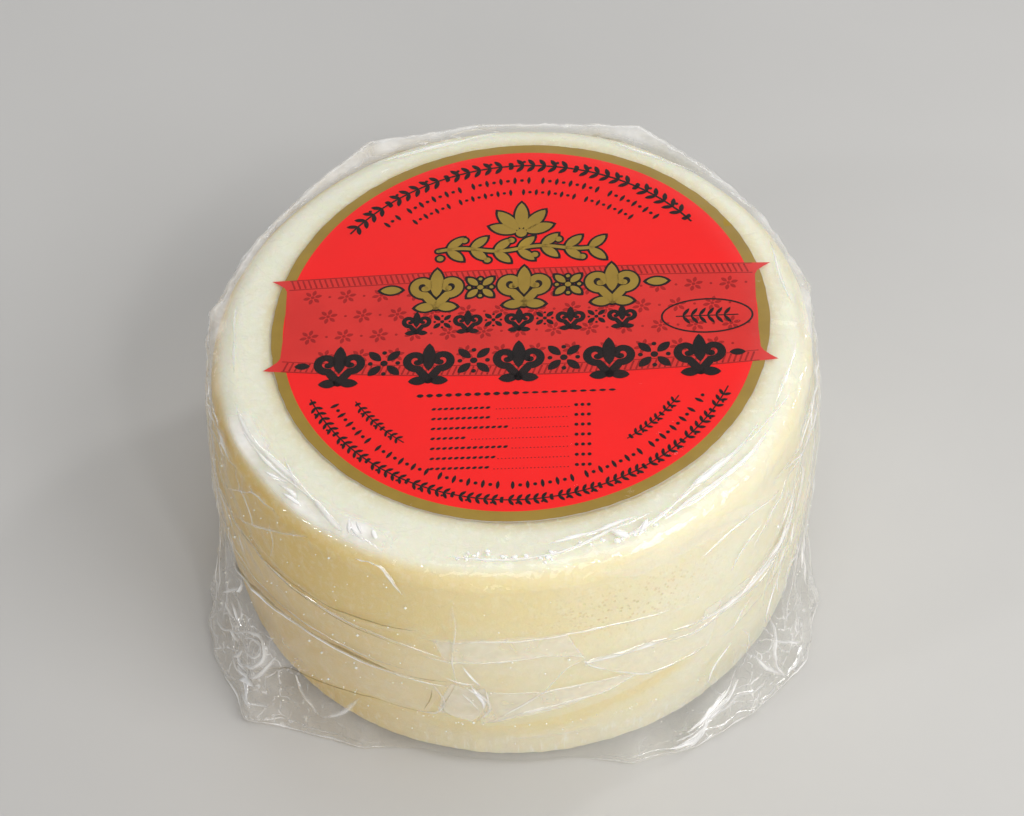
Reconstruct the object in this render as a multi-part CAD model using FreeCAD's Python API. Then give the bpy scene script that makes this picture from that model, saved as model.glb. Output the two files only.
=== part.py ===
"""A whole semi-cured goat cheese, shrink-wrapped in clear film with a round label under the film.

Frame: +Z up, origin on the surface it stands on, on the wheel's own axis, front towards -Y.
Lengths are in millimetres and angles in degrees.
"""
import FreeCAD
import Part
import math
import os

# The wheel. Its side is a shallow barrel, and its top face climbs towards +X.
WHEEL_RADIUS = 67.5        # at the widest place
WHEEL_HEIGHT = 69.0        # on the axis, from its base to its top face
TOP_SLOPE = 2.8            # angle of the top face to the floor
BELLY_HEIGHT = 33.0        # height of the widest place above the base
FOOT_INSET = 1.9           # from the widest radius in to the side at the base
NECK_INSET = 3.7           # and to the side at WHEEL_HEIGHT
SHOULDER_ROUND = 7.0       # rounding of the top edge
FOOT_ROUND = 5.0           # rounding of the bottom edge

# The label, a disc of paper on the top face with a ribbon whose ends stand past its edge.
LABEL_INSET = 3.6          # from the side at the neck, less the shoulder, in to the label's edge
LABEL_THICKNESS = 0.15
LABEL_SHIFT = (1.7, 2.1)   # of the label's centre from the wheel's axis
LABEL_TURN = -1.7
RIBBON_HEIGHT = 28.0
RIBBON_DROP = 0.5          # of the ribbon's middle line below the label's centre
RIBBON_TIP = 1.3           # how far each ribbon corner stands past the label's edge
RIBBON_NOTCH = 4.0         # depth of the V in each ribbon end

# The film bag. It clings to the wheel and stands off it at both edges and in four ears.
FILM_THICKNESS = 0.3
FILM_SHOULDER_ROUND = 3.5  # the taut film turns the top edge on a smaller radius
FILM_FOOT_ROUND = 2.5      # and the bottom edge
EAR_RISE = 44.0            # height of the point inside the side that an ear's faces climb to
EAR_ROOT_DEPTH = 4.0       # how far inside the widest radius an ear's ridge and ends start
EAR_END_TURN = 16.0        # from an outline's end to the corner where the ear leaves the side

# Each ear's outline on the floor: azimuth, and how far it reaches past the widest radius.
EARS = {
    "front_left": [(195, 6.0), (208, 10.5), (221, 13.5), (229, 7.5), (240, 3.0)],
    "front_right": [(290, 3.6), (302, 6.2), (314, 7.6), (327, 9.8), (339, 7.2), (351, 2.4)],
    "back_right": [(23, 2.6), (34, 7.0), (44, 8.6), (55, 5.2), (64, 2.0)],
    "back_left": [(118, 2.2), (128, 6.2), (139, 9.2), (150, 6.4), (160, 2.6)],
}

V = FreeCAD.Vector
Z = V(0, 0, 1)


def polar(azimuth, radius, height=0.0):
    """The point at that azimuth and radius about the wheel's axis."""
    angle = math.radians(azimuth)
    return V(radius * math.cos(angle), radius * math.sin(angle), height)


def on_top_face(shape, lift):
    """Lays a shape drawn at the origin onto the wheel's sloped top face, lift above it."""
    placed = shape.copy()
    placed.translate(V(0, 0, lift))
    placed.rotate(V(0, 0, 0), V(0, 1, 0), -TOP_SLOPE)
    placed.translate(V(0, 0, FILM_THICKNESS + WHEEL_HEIGHT))
    return placed


def barrel(grow, drop, lift, foot_round, shoulder_round):
    """The wheel's form grown by grow at the side, drop at the base and lift at the top."""
    radius = WHEEL_RADIUS + grow
    base = FILM_THICKNESS - drop
    start = V(radius - FOOT_INSET, 0, base)
    belly = V(radius, 0, FILM_THICKNESS + BELLY_HEIGHT)
    neck = V(radius - NECK_INSET, 0, FILM_THICKNESS + WHEEL_HEIGHT)
    side = Part.Arc(start, belly, neck).toShape().Curve
    # The side's arc runs on past the neck, so that the sloped top face can be cut from it.
    crest = neck.z + SHOULDER_ROUND + radius * math.tan(math.radians(TOP_SLOPE))
    reach = math.sqrt(side.Radius**2 - (crest - side.Center.z) ** 2)
    top = V(side.Center.x + reach, 0, crest)
    profile = [
        Part.LineSegment(V(0, 0, base), start).toShape(),
        Part.Arc(start, neck, top).toShape(),
        Part.LineSegment(top, V(0, 0, crest)).toShape(),
        Part.LineSegment(V(0, 0, crest), V(0, 0, base)).toShape(),
    ]
    blank = Part.Face(Part.Wire(profile)).revolve(V(0, 0, 0), Z, 360)
    half = 2 * WHEEL_RADIUS
    above = Part.makeBox(2 * half, 2 * half, WHEEL_HEIGHT, V(-half, -half, 0))
    blank = blank.cut(on_top_face(above, lift))
    circles = [e for e in blank.Edges if e.BoundBox.YLength > WHEEL_RADIUS]
    foot = [e for e in circles if e.BoundBox.ZMax < base + 0.01]
    rounded = blank.makeFillet(foot_round, foot)
    circles = [e for e in rounded.Edges if e.BoundBox.YLength > WHEEL_RADIUS]
    rim = [e for e in circles if e.BoundBox.ZMin > WHEEL_HEIGHT / 2]
    return rounded.makeFillet(shoulder_round, rim)


def label_radius():
    """The label fills the flat of the top face nearly to the shoulder."""
    return WHEEL_RADIUS - NECK_INSET - SHOULDER_ROUND - LABEL_INSET


def ribbon_outline():
    """The ribbon in the label's own plane, swallow-tailed at both ends."""
    radius = label_radius()
    high, low = RIBBON_HEIGHT / 2 - RIBBON_DROP, -RIBBON_HEIGHT / 2 - RIBBON_DROP
    upper = math.sqrt(radius**2 - high**2) + RIBBON_TIP
    lower = math.sqrt(radius**2 - low**2) + RIBBON_TIP
    notch = min(upper, lower) - RIBBON_NOTCH
    corners = [
        V(-lower, low, 0),
        V(lower, low, 0),
        V(notch, -RIBBON_DROP, 0),
        V(upper, high, 0),
        V(-upper, high, 0),
        V(-notch, -RIBBON_DROP, 0),
    ]
    return Part.Face(Part.makePolygon(corners + corners[:1]))


def label():
    disc = Part.makeCylinder(label_radius(), LABEL_THICKNESS)
    ribbon = ribbon_outline().extrude(V(0, 0, LABEL_THICKNESS))
    sheet = disc.fuse(ribbon).removeSplitter()
    sheet.rotate(V(0, 0, 0), Z, LABEL_TURN)
    sheet.translate(V(LABEL_SHIFT[0], LABEL_SHIFT[1], 0))
    return on_top_face(sheet, 0.0)


def ear(outline):
    """One loose corner of the bag: a tent from a ridge point inside the side to the floor."""
    first, last = outline[0][0] - EAR_END_TURN, outline[-1][0] + EAR_END_TURN
    root = WHEEL_RADIUS - EAR_ROOT_DEPTH
    corners = [polar(azimuth, WHEEL_RADIUS + reach) for azimuth, reach in outline]
    middle = (first + last) / 2
    loop = [polar(first, root)] + corners + [polar(last, root), polar(middle, root / 2)]
    ridge = polar(middle, root, EAR_RISE)
    faces = [Part.Face(Part.makePolygon(loop + loop[:1]))]
    for start, end in zip(loop, loop[1:] + loop[:1]):
        faces.append(Part.Face(Part.makePolygon([start, end, ridge, start])))
    return Part.makeSolid(Part.makeShell(faces))


def film_bag(cheese, paper):
    """The bag out to its loose corners, less what is in it."""
    over_label = LABEL_THICKNESS + FILM_THICKNESS
    bag = barrel(FILM_THICKNESS, FILM_THICKNESS, over_label, FILM_FOOT_ROUND, FILM_SHOULDER_ROUND)
    for outline in EARS.values():
        bag = bag.fuse(ear(outline))
    return bag.cut(cheese).cut(paper).removeSplitter()


def main():
    os.makedirs("parts", exist_ok=True)
    cheese = barrel(0.0, 0.0, 0.0, FOOT_ROUND, SHOULDER_ROUND)
    paper = label()
    nodes = {"cheese_wheel": cheese, "label": paper, "film_bag": film_bag(cheese, paper)}
    for name, shape in nodes.items():
        solid = shape.Solids[0]
        print(name, "solids", len(shape.Solids), "valid", solid.isValid(), "mm3", round(solid.Volume))
        solid.exportStep(f"parts/{name}.step")


main()
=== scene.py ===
"""Looks of a shrink-wrapped semi-cured cheese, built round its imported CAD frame.

Shapes are worked out in millimetres in the frame's axes, and become metres as each mesh is made.
Azimuths are in degrees about the wheel's axis, from +X towards +Y, so the front is at 270.
"""

import math

import bpy
import numpy as np
from mathutils import Matrix, Vector


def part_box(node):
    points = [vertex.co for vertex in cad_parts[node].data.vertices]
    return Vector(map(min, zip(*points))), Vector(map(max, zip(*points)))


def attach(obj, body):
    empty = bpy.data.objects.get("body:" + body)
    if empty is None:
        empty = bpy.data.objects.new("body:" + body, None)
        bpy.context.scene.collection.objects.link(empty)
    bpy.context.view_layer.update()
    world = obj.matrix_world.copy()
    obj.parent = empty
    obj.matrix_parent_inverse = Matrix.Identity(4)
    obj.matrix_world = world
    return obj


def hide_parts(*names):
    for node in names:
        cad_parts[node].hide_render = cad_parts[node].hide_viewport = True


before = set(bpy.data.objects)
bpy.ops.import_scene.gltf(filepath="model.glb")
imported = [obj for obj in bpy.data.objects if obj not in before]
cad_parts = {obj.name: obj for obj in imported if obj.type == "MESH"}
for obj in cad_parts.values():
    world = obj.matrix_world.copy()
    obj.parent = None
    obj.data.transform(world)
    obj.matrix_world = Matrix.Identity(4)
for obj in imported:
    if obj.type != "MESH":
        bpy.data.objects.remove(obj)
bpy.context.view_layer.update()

MM = 0.001
CHEESE_LO, CHEESE_HI = [np.array(corner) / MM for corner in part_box("cheese_wheel")]

# The wheel: a shallow barrel whose top face climbs towards +X.
BASE = CHEESE_LO[2]
RADIUS = (CHEESE_HI[1] - CHEESE_LO[1]) / 2
WHEEL_HEIGHT = 69.0
TOP_AT_AXIS = BASE + WHEEL_HEIGHT
SLOPE = math.tan(math.radians(2.8))
FOOT_INSET = 1.9
NECK_INSET = 3.7
BELLY_HEIGHT = 33.0
SHOULDER_ROUND = 7.0
FOOT_ROUND = 5.0

# The label: a disc a little off the wheel's axis, on the flat of the top.
LABEL_INSET = 3.6
LABEL_RADIUS = RADIUS - NECK_INSET - SHOULDER_ROUND - LABEL_INSET
LABEL_CENTRE = np.array([1.7, 2.1])
LABEL_TURN = math.radians(-1.7)
PAPER = 0.15

# The film: how it stands off the cheese. Corners of the rim and ears are (azimuth, stand-off).
FILM_GAP = 0.22
FILM_OVER_TOP = PAPER + 0.14
RIM_ROUND = 2.6
RIM_CORNERS = [
    (8, 1.6), (28, 0.5), (45, 0.9), (63, 4.8), (79, 0.5), (96, 0.5), (118, 5.0), (135, 0.9),
    (153, 0.5), (171, 1.9), (190, 0.7), (206, 0.9), (223, 1.3), (240, 0.7), (256, 0.4), (274, 0.4),
    (291, 0.7), (304, 0.5), (320, 0.9), (334, 1.5), (348, 0.7),
]
RIM_DEPTH = 24.0
EAR_RISE = 44.0
EAR_ROOT = RADIUS - 4.0
EARS = [
    [(179, -4), (195, 6.0), (208, 10.5), (221, 13.5), (229, 7.5), (240, 3.0), (256, -4)],
    [(274, -4), (290, 3.6), (302, 6.2), (314, 7.6), (327, 9.6), (339, 5.8), (351, 0.8), (367, -4)],
    [(7, -4), (23, 2.6), (34, 7.0), (44, 8.6), (55, 5.2), (64, 2.0), (80, -4)],
    [(102, -4), (118, 2.2), (128, 6.2), (139, 9.2), (150, 6.4), (160, 2.6), (176, -4)],
]


# ---------------------------------------------------------------- numbers

def smooth(low, high, x):
    """0 below low, 1 above high, and an S-curve between."""
    t = np.clip((x - low) / (high - low), 0, 1)
    return t * t * (3 - 2 * t)


def lattice(ix, iy, iz, seed):
    """A repeatable random number from 0 to 1 for each whole-number place."""
    n = ix * 374761393 + iy * 668265263 + iz * 2147483647 + seed * 1274126177
    n = (n ^ (n >> 13)) * 1274126177
    n = n ^ (n >> 16)
    return (n & 0xFFFFFF) / float(0xFFFFFF)


def value_noise(p, size, seed):
    """Smooth noise from 0 to 1 at points p, with lumps of that size in millimetres."""
    q = np.asarray(p) / size
    cell = np.floor(q).astype(np.int64)
    f = q - cell
    f = f * f * (3 - 2 * f)
    total = 0.0
    for corner in range(8):
        dx, dy, dz = corner & 1, (corner >> 1) & 1, corner >> 2
        weight = np.where(dx, f[..., 0], 1 - f[..., 0])
        weight = weight * np.where(dy, f[..., 1], 1 - f[..., 1])
        weight = weight * np.where(dz, f[..., 2], 1 - f[..., 2])
        place = lattice(cell[..., 0] + dx, cell[..., 1] + dy, cell[..., 2] + dz, seed)
        total = total + weight * place
    return total


def facets(p, size, seed, count=5):
    """Crumpled sheet: straight folds in several directions, from 0 to 1, flat between them."""
    rng = np.random.default_rng(seed)
    bend = np.stack([value_noise(p, size * 3, seed + k) for k in range(3)], axis=-1) - 0.5
    q = p + bend * size * 1.6
    total = 0.0
    for _ in range(count):
        way = rng.normal(size=3)
        way /= np.linalg.norm(way)
        phase = q @ way / (size * rng.uniform(0.8, 1.9)) + rng.uniform()
        total = total + np.abs(2 * (phase - np.floor(phase)) - 1)
    return total / count


def at_angle(degrees):
    """The outward direction at an angle, and the direction a quarter turn on from it."""
    a = math.radians(degrees)
    out = np.array([math.cos(a), math.sin(a)])
    return out, np.array([-out[1], out[0]])


def crosswise(line):
    """Unit directions square to a line of points, to its left."""
    way = np.gradient(line, axis=0)
    way /= np.linalg.norm(way, axis=1, keepdims=True).clip(1e-9)
    return np.stack([-way[:, 1], way[:, 0]], -1)


def circle_through(a, b, c):
    """Centre and radius of the circle through three points."""
    rows = 2 * np.array([np.subtract(b, a), np.subtract(c, a)], dtype=float)
    right = np.array([np.dot(b, b) - np.dot(a, a), np.dot(c, c) - np.dot(a, a)])
    centre = np.linalg.solve(rows, right)
    return centre, math.dist(centre, a)


SIDE_CENTRE, SIDE_ARC = circle_through(
    (RADIUS - FOOT_INSET, BASE),
    (RADIUS, BASE + BELLY_HEIGHT),
    (RADIUS - NECK_INSET, TOP_AT_AXIS),
)


def side_radius(z):
    """The barrel's radius at height z."""
    return SIDE_CENTRE[0] + np.sqrt(SIDE_ARC**2 - (z - SIDE_CENTRE[1]) ** 2)


def top_height(azimuth, radius):
    """Height of the sloping top face."""
    return TOP_AT_AXIS + radius * np.cos(azimuth) * SLOPE


def through_corners(azimuth, corners, base=0.0):
    """Radius at each azimuth of straight lines from corner to corner, given as (degrees, radius)."""
    angles = np.radians([corner[0] for corner in corners])
    radii = np.array([corner[1] for corner in corners]) + base
    turn = 2 * math.pi
    a = (azimuth - angles[0]) % turn + angles[0]
    if angles[-1] - angles[0] > turn - 0.7:
        angles = np.append(angles, angles[0] + turn)
        radii = np.append(radii, radii[0])
    k = np.clip(np.searchsorted(angles, a, side="right") - 1, 0, len(angles) - 2)
    a0, a1, r0, r1 = angles[k], angles[k + 1], radii[k], radii[k + 1]
    chord = r0 * r1 * np.sin(a1 - a0) / (r0 * np.sin(a - a0) + r1 * np.sin(a1 - a)).clip(1e-6)
    return np.where(a <= angles[-1], chord, 0.0)


# ---------------------------------------------------------------- wheel forms

def fillet(corner, into_top, down_side, rounding):
    """The rounding's centre and its start and end angle in each azimuth's own (r, z) plane."""
    cosine = np.clip((into_top * down_side).sum(0), -1, 1)
    half = np.arccos(cosine) / 2
    middle = into_top + down_side
    middle = middle / np.linalg.norm(middle, axis=0)
    centre = corner + middle * (rounding / np.sin(half))
    reach = rounding / np.tan(half)
    start = corner + into_top * reach - centre
    end = corner + down_side * reach - centre
    return centre, np.arctan2(start[1], start[0]), np.arctan2(end[1], end[0])


def shoulder_rows(azimuth, grow, lift, rounding, count):
    """Rows of (r, z) round the top edge, from the flat of the top to the side."""
    r = side_radius(TOP_AT_AXIS) + grow
    for _ in range(4):
        z = top_height(azimuth, r) + lift
        r = side_radius(z) + grow
    lean = (side_radius(z + 0.5) - side_radius(z - 0.5)) + grow / RIM_DEPTH
    slope = np.arctan(np.cos(azimuth) * SLOPE)
    into_top = np.stack([-np.cos(slope), -np.sin(slope)])
    down_side = np.stack([-lean, -np.ones_like(lean)])
    down_side = down_side / np.linalg.norm(down_side, axis=0)
    centre, start, end = fillet(np.stack([r, z]), into_top, down_side, rounding)
    rows = []
    for t in np.linspace(0, 1, count):
        angle = start + (end - start) * t
        rows.append((centre[0] + rounding * np.cos(angle), centre[1] + rounding * np.sin(angle)))
    return rows


def top_rows(azimuth, edge, lift, count):
    """Rows from near the middle of the top face out to its edge, closer together outwards."""
    rows = []
    for t in np.linspace(0.08, 1, count)[:-1] ** 0.7:
        r = edge[0] * t
        rows.append((r, top_height(azimuth, r) + lift))
    return rows


def to_points(rows, azimuth):
    """Rows of (r, z) at these azimuths as a grid of points."""
    r = np.array([np.broadcast_to(row[0], azimuth.shape) for row in rows])
    z = np.array([np.broadcast_to(row[1], azimuth.shape) for row in rows])
    return np.stack([r * np.cos(azimuth), r * np.sin(azimuth), z], axis=-1)


def grid_normals(p):
    """Outward normals of a grid whose columns run round the axis and whose rows run down."""
    down = np.gradient(p, axis=0)
    round_ = np.roll(p, -1, axis=1) - np.roll(p, 1, axis=1)
    n = np.cross(down, round_)
    return n / np.linalg.norm(n, axis=-1, keepdims=True).clip(1e-9)


# ---------------------------------------------------------------- meshes

def add_mesh(name, points, faces, material, attributes=None, shade=True):
    """A piece from points in millimetres that rides on the one body."""
    mesh = bpy.data.meshes.new(name)
    points = np.asarray(points, dtype=np.float64).reshape(-1, 3) * MM
    faces = [np.asarray(block, dtype=np.int32) for block in faces]
    sizes = np.concatenate([np.full(len(block), block.shape[1]) for block in faces])
    loops = np.concatenate([block.ravel() for block in faces])
    mesh.vertices.add(len(points))
    mesh.vertices.foreach_set("co", points.ravel())
    mesh.loops.add(len(loops))
    mesh.loops.foreach_set("vertex_index", loops)
    mesh.polygons.add(len(sizes))
    mesh.polygons.foreach_set("loop_start", np.concatenate([[0], np.cumsum(sizes)[:-1]]))
    mesh.polygons.foreach_set("loop_total", sizes)
    mesh.polygons.foreach_set("use_smooth", np.full(len(sizes), shade))
    for key, values in (attributes or {}).items():
        layer = mesh.attributes.new(key, "FLOAT", "POINT")
        layer.data.foreach_set("value", np.asarray(values, dtype=np.float32).ravel())
    mesh.update(calc_edges=True)
    mesh.validate()
    mesh.materials.append(material)
    piece = bpy.data.objects.new(name, mesh)
    bpy.context.scene.collection.objects.link(piece)
    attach(piece, "root")
    return piece


def grid_faces(rows, columns, closed=True):
    """Quads between the rows of a grid, facing outwards; a closed one runs right round the axis."""
    row, column = np.meshgrid(np.arange(rows - 1), np.arange(columns - (not closed)), indexing="ij")
    a, b = row * columns + column, row * columns + (column + 1) % columns
    return np.stack([a, a + columns, b + columns, b], axis=-1).reshape(-1, 4)


def cap_faces(first, columns, pole, flip):
    """Triangles from one row to a pole."""
    a = first + np.arange(columns)
    b = np.roll(a, -1)
    middle = np.full(columns, pole)
    return np.stack([b, middle, a] if flip else [a, middle, b], axis=-1)


# ---------------------------------------------------------------- materials

class Look:
    """A node material in the making. Sizes are in millimetres, and at is the surface point."""

    def __init__(self, name):
        self.material = bpy.data.materials.new(name)
        self.material.use_nodes = True
        self.tree = self.material.node_tree
        self.tree.nodes.clear()
        self.output = self.tree.nodes.new("ShaderNodeOutputMaterial")
        coordinates = self.node("TexCoord").outputs["Object"]
        self.at = self.node("VectorMath", {0: coordinates, 3: 1 / MM}, operation="SCALE").outputs[0]

    def node(self, kind, inputs=None, **settings):
        """A node with its settings made and its inputs set or linked; a colour needs no alpha."""
        made = self.tree.nodes.new("ShaderNode" + kind)
        for key, value in settings.items():
            setattr(made, key, value)
        for key, value in (inputs or {}).items():
            socket = made.inputs[key]
            if isinstance(value, bpy.types.NodeSocket):
                self.tree.links.new(value, socket)
            elif socket.type == "RGBA":
                socket.default_value = (*value, 1.0)
            else:
                socket.default_value = value
        return made

    def noise(self, size, detail=3.0, rough=0.55, stretch=(1, 1, 1)):
        """Noise from 0 to 1 with lumps of that size."""
        scaled = self.node("Mapping", {"Vector": self.at, "Scale": [s / size for s in stretch]})
        inputs = {"Vector": scaled.outputs[0], "Scale": 1.0, "Detail": detail, "Roughness": rough}
        return self.node("TexNoise", inputs).outputs["Fac"]

    def cells(self, at, size, output, **settings):
        """Distance from the middles or edges of scattered cells of that size."""
        inputs = {"Vector": at, "Scale": 1 / size, "Randomness": 1.0}
        return self.node("TexVoronoi", inputs, **settings).outputs[output]

    def ramp(self, value, low, high, out_low=0.0, out_high=1.0):
        """value from low to high, spread over out_low to out_high with a smooth step."""
        inputs = {"Value": value, 1: low, 2: high, 3: out_low, 4: out_high}
        return self.node("MapRange", inputs, interpolation_type="SMOOTHSTEP").outputs[0]

    def maths(self, operation, a, b, clamp=False):
        return self.node("Math", {0: a, 1: b}, operation=operation, use_clamp=clamp).outputs[0]

    def times(self, a, b, clamp=False):
        return self.maths("MULTIPLY", a, b, clamp)

    def mix(self, factor, a, b):
        """Colour a turning to b."""
        return self.node("Mix", {0: factor, 6: a, 7: b}, data_type="RGBA").outputs[2]

    def bump(self, height, distance, normal=None):
        """A normal bent by height, which counts distance millimetres."""
        inputs = {"Height": height, "Distance": distance * MM}
        if normal is not None:
            inputs["Normal"] = normal
        return self.node("Bump", inputs).outputs[0]

    def attribute(self, name):
        return self.node("Attribute", attribute_name=name).outputs["Fac"]

    def finish(self, shader):
        """Puts a shader node on the surface and hands the material over."""
        self.tree.links.new(shader.outputs[0], self.output.inputs["Surface"])
        return self.material


IVORY = (0.86, 0.845, 0.69)
BUTTER = (0.83, 0.71, 0.38)
# Painted shade: the amber of the paste's shaded left side and of the ring round the label.
AMBER_SHADE = (0.70, 0.455, 0.075)
CHALK = (0.82, 0.75, 0.55)
# Painted shade inside the pits.
PIT_SHADE = (0.64, 0.46, 0.17)


def cheese_paste():
    """Pale waxy paste: ivory on top, more yellow down the side, mottled, with fine pits. Painted shade lays
    amber down the left side and round the label, and darkens the pits.
    """
    look = Look("cheese_paste")
    cloud = look.noise(16, 4)
    curd = look.noise(5.0, 3, 0.5)
    fine = look.noise(1.6, 4, 0.65)
    grain = look.noise(0.5, 2)
    combed = look.noise(1.1, 3, 0.6, (1, 1, 0.14))
    side = look.attribute("yellow")
    calm = look.ramp(side, 0.0, 0.6, 1.0, 0.4)
    yellow = look.maths("ADD", side, look.ramp(cloud, 0.3, 0.7, -0.12, 0.12))
    colour = look.mix(look.maths("MAXIMUM", yellow, 0.0, True), IVORY, BUTTER)
    colour = look.mix(look.attribute("pale"), colour, CHALK)
    # Painted shade: amber down the left side and round the label.
    colour = look.mix(look.attribute("painted_warm_shade"), colour, AMBER_SHADE)
    pits = look.ramp(look.cells(look.at, 1.15, "Distance"), 0.16, 0.4, 1.0, 0.0)
    pits = look.times(pits, look.attribute("pit"))
    pits = look.times(pits, look.ramp(fine, 0.34, 0.5, 0.1, 1.0), True)
    # Painted shade darkens the pits.
    colour = look.mix(look.times(pits, 0.5), colour, PIT_SHADE)
    marks = (
        (look.ramp(curd, 0.5, 0.75, 0.0, 0.2), (0.76, 0.70, 0.46)),
        (look.ramp(fine, 0.45, 0.75, 0.0, 0.5), (0.95, 0.93, 0.82)),
        (look.ramp(grain, 0.62, 0.8, 0.0, 0.4), (0.97, 0.96, 0.88)),
    )
    for amount, tone in marks:
        colour = look.mix(look.times(amount, calm), colour, tone)
    streaks = look.times(look.attribute("foot"), look.ramp(combed, 0.52, 0.7, 0.0, 0.5), True)
    colour = look.mix(streaks, colour, (0.96, 0.95, 0.88))
    normal = look.bump(fine, 0.1)
    normal = look.bump(grain, 0.04, normal)
    normal = look.bump(pits, -0.12, normal)
    inputs = {
        "Base Color": colour,
        "Roughness": look.ramp(fine, 0.2, 0.8, 0.42, 0.6),
        "Normal": normal,
        "Subsurface Weight": 0.55,
        "Subsurface Radius": (1.0, 0.62, 0.26),
        "Subsurface Scale": 0.006,
        "Specular IOR Level": 0.35,
    }
    return look.finish(look.node("BsdfPrincipled", inputs))


def printed(name, colour, darker, gloss=0.45, metal=0.0, mottle=0.5):
    """Printed paper: ink laid a little unevenly over fine paper fibre."""
    look = Look(name)
    cloud = look.noise(9, 4)
    fibre = look.noise(0.35, 3, 0.6)
    shade = look.mix(look.ramp(cloud, 0.35, 0.7, 0.0, mottle), colour, darker)
    shade = look.mix(look.ramp(fibre, 0.5, 0.8, 0.0, mottle * 0.4), shade, darker)
    inputs = {
        "Base Color": shade,
        "Roughness": look.ramp(fibre, 0.3, 0.7, gloss - 0.06, gloss + 0.08),
        "Metallic": metal,
        "Specular IOR Level": 0.15,
        "Normal": look.bump(fibre, 0.02),
    }
    return look.finish(look.node("BsdfPrincipled", inputs))


def film_look(name, tint, milk, rough, ripple, mirror=0.04):
    """Thin clear film: see-through, mirror-like at a slant, milky where haze says so, and
    crossed by a net of fine crumple lines where web says so."""
    look = Look(name)
    wave = look.noise(5.5, 2, 0.6)
    fine = look.noise(1.3, 1, 0.5)
    web = look.attribute("web")
    bent = look.node("VectorMath", {0: wave, 1: (7, -5, 6)}, operation="MULTIPLY").outputs[0]
    bent = look.node("VectorMath", {0: bent, 1: look.at}, operation="ADD").outputs[0]
    crumple = look.cells(bent, 6.0, "Distance", feature="DISTANCE_TO_EDGE")
    lines = look.times(look.ramp(crumple, 0.0, 0.04, 1.0, 0.0), look.ramp(fine, 0.35, 0.65, 0.15, 1.0))
    lines = look.times(lines, web)
    normal = look.bump(wave, ripple)
    normal = look.bump(fine, ripple * 0.12, normal)
    clear = look.node("BsdfTransparent", {"Color": tint}).outputs[0]
    shine = {"Color": (1, 1, 1), "Roughness": rough, "Normal": normal}
    shine = look.node("BsdfGlossy", shine).outputs[0]
    facing = look.node("LayerWeight", {"Blend": 0.5, "Normal": normal}).outputs["Facing"]
    slant = look.times(look.maths("POWER", facing, 4.5), 0.8)
    slant = look.maths("ADD", slant, mirror, True)
    slant = look.maths("ADD", slant, look.times(web, 0.05), True)
    thin = look.node("MixShader", {0: slant, 1: clear, 2: shine})
    veil = look.node("BsdfDiffuse", {"Color": (0.95, 0.94, 0.93), "Normal": normal}).outputs[0]
    cloudy = look.times(look.attribute("haze"), look.ramp(wave, 0.3, 0.7, 0.8, 1.2))
    share = look.times(look.maths("ADD", cloudy, lines), milk, True)
    return look.finish(look.node("MixShader", {0: share, 1: thin.outputs[0], 2: veil}))


def floor_look():
    look = Look("pale_floor")
    colour = look.mix(look.noise(60), (0.53, 0.52, 0.505), (0.56, 0.55, 0.535))
    return look.finish(look.node("BsdfPrincipled", {"Base Color": colour, "Roughness": 0.75}))


def crumb_look():
    look = Look("trapped_crumb")
    tone = look.mix(look.noise(2.0), (0.92, 0.90, 0.80), (0.98, 0.98, 0.95))
    inputs = {"Base Color": tone, "Roughness": 0.25, "Specular IOR Level": 0.6}
    return look.finish(look.node("BsdfPrincipled", inputs))


# ---------------------------------------------------------------- the cheese

CHEESE_COLUMNS = 600
# Where the side is pitted: (strength, (azimuth, height), reach each way).
PITTED_PATCHES = [(0.95, (290.5, 54.5), (17, 6)), (0.6, (120, 45), (20, 10)), (0.45, (226, 32), (20, 9))]


def cheese_grid():
    """The paste's own surface before its unevenness, and its azimuths."""
    azimuth = np.linspace(0, 2 * math.pi, CHEESE_COLUMNS, endpoint=False)
    shoulder = shoulder_rows(azimuth, np.zeros_like(azimuth), 0.0, SHOULDER_ROUND, 18)
    rows = top_rows(azimuth, shoulder[0], 0.0, 34) + shoulder
    edge, foot_z = shoulder[-1][1], BASE + FOOT_ROUND
    for t in np.linspace(0, 1, 88)[1:]:
        z = edge + (foot_z - edge) * t
        rows.append((side_radius(z), z))
    middle = side_radius(foot_z) - FOOT_ROUND
    for angle in np.linspace(0, math.pi / 2, 9)[1:]:
        rows.append((middle + FOOT_ROUND * math.cos(angle), foot_z - FOOT_ROUND * math.sin(angle)))
    return to_points(rows, azimuth), azimuth


def patch(azimuth, z, middle, reach):
    """1 in the middle of a place on the side, (degrees, height), fading out over reach millimetres."""
    across = np.angle(np.exp(1j * (azimuth - math.radians(middle[0])))) * RADIUS
    return np.exp(-((across / reach[0]) ** 2) - ((z - middle[1]) / reach[1]) ** 2)


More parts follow.
